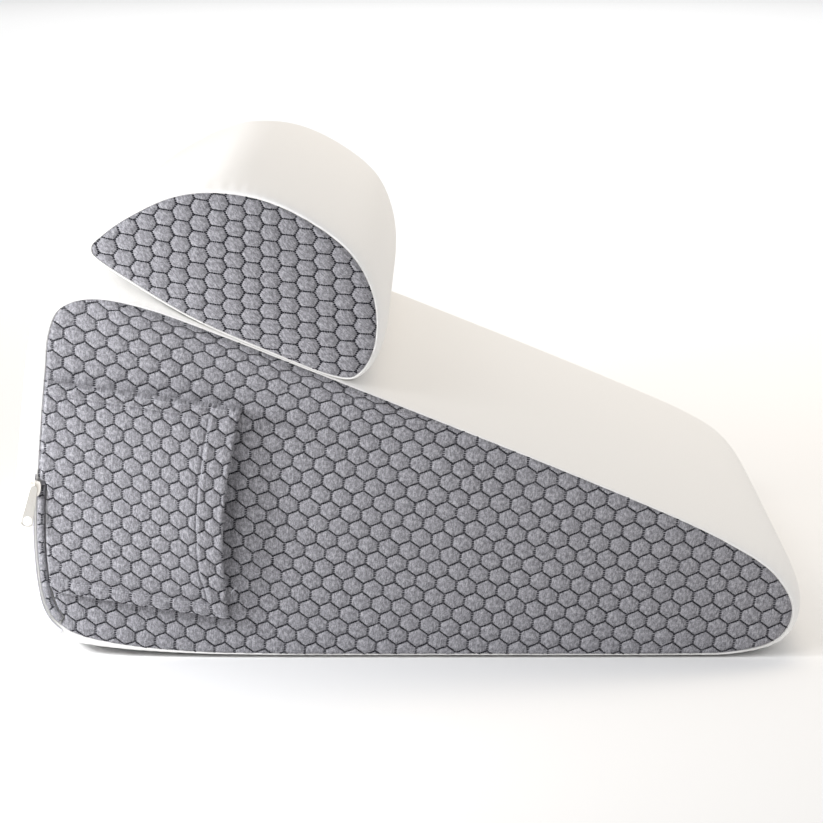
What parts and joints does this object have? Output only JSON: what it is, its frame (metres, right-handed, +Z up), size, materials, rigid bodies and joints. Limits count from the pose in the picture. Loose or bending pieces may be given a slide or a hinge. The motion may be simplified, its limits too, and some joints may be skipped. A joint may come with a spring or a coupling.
{
  "type": "wedge pillow with headrest bolster",
  "caption": "White knit wedge pillow with grey honeycomb-quilted sides, a gaping side pocket, a zip at the back seam and a matching half-moon headrest bolster on its high end.",
  "frame": {"origin": "on the floor plane, under the middle of the whole pillow's bounding box", "axes": "+X from the high back end to the low nose, +Y across the width from the pocket side to the plain side, +Z up"},
  "size_m": [0.6185, 0.6015, 0.3716],
  "materials": {
    "white_knit": "matt fine knit",
    "grey_quilt": "matt heather knit, quilted in honeycomb cells",
    "zip_tape": "matt woven tape",
    "zip_metal": "bright warm nickel"
  },
  "bodies": {
    "root": {"wedge_cushion": "white_knit", "headrest_cushion": "white_knit", "side_panel_near": "grey_quilt", "side_panel_far": "grey_quilt", "headrest_panel_near": "grey_quilt", "headrest_panel_far": "grey_quilt", "side_pocket": "grey_quilt", "zip_guard": "grey_quilt", "zip_tape": "zip_tape", "zip_slider": "zip_metal", "zip_pull": "zip_metal"}
  },
  "joints": []
}
